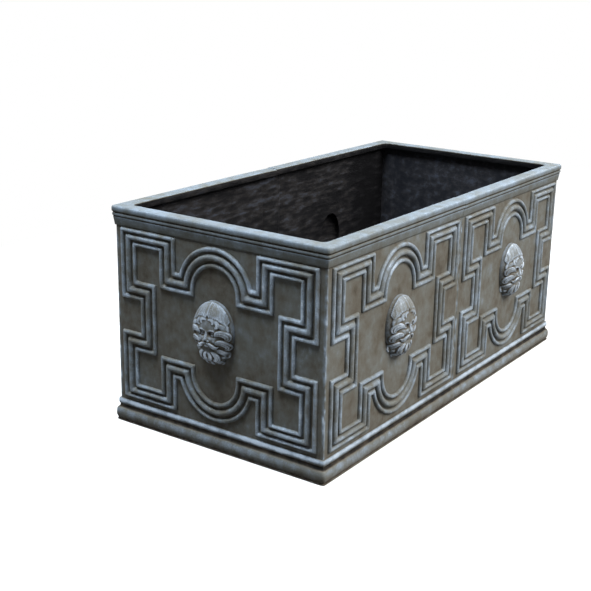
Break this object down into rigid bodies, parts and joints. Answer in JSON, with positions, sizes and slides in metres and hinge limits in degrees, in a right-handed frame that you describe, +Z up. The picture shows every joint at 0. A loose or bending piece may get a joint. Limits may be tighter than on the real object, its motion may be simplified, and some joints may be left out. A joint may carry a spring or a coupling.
{
  "type": "rectangular trough planter",
  "caption": "Rectangular lead-effect garden trough with strapwork panels, head masks, a moulded rim and plinth, and a drained floor.",
  "frame": {"origin": "centre of the trough's footprint, on the ground", "axes": "+X along the long side, +Y towards the back, +Z up"},
  "size_m": [1.068, 0.568, 0.45],
  "materials": {
    "lead_effect": "lead-effect glass-fibre resin, dark grey with brown in the recesses and pale worn ridges",
    "lead_effect_rim": "lead-effect glass-fibre resin, worn to a pale blue-grey",
    "black_laminate": "rough black resin, brushed along the wall",
    "timber": "rough-sawn softwood, sealed in resin"
  },
  "bodies": {
    "root": {"panel_front_left": "lead_effect", "panel_front_right": "lead_effect", "panel_back_left": "lead_effect", "panel_back_right": "lead_effect", "panel_end_left": "lead_effect", "panel_end_right": "lead_effect", "mask_front_left": "lead_effect", "mask_front_right": "lead_effect", "mask_back_left": "lead_effect", "mask_back_right": "lead_effect", "mask_end_left": "lead_effect", "mask_end_right": "lead_effect", "rim_front_left": "lead_effect_rim", "rim_front_right": "lead_effect_rim", "rim_back_left": "lead_effect_rim", "rim_back_right": "lead_effect_rim", "rim_end_left": "lead_effect_rim", "rim_end_right": "lead_effect_rim", "plinth_front_left": "lead_effect", "plinth_front_right": "lead_effect", "plinth_back_left": "lead_effect", "plinth_back_right": "lead_effect", "plinth_end_left": "lead_effect", "plinth_end_right": "lead_effect", "rim_batten_front": "timber", "rim_batten_back": "timber", "rim_batten_end_left": "timber", "rim_batten_end_right": "timber", "floor_fillet_front": "black_laminate", "floor_fillet_back": "black_laminate", "floor_fillet_end_left": "black_laminate", "floor_fillet_end_right": "black_laminate", "seam_strip_front": "black_laminate", "seam_strip_back": "black_laminate", "corner_strip_front_left": "black_laminate", "corner_strip_front_right": "black_laminate", "corner_strip_back_left": "black_laminate", "corner_strip_back_right": "black_laminate", "floor": "black_laminate", "bearer_1": "timber", "bearer_2": "timber", "bearer_3": "timber"}
  },
  "joints": []
}
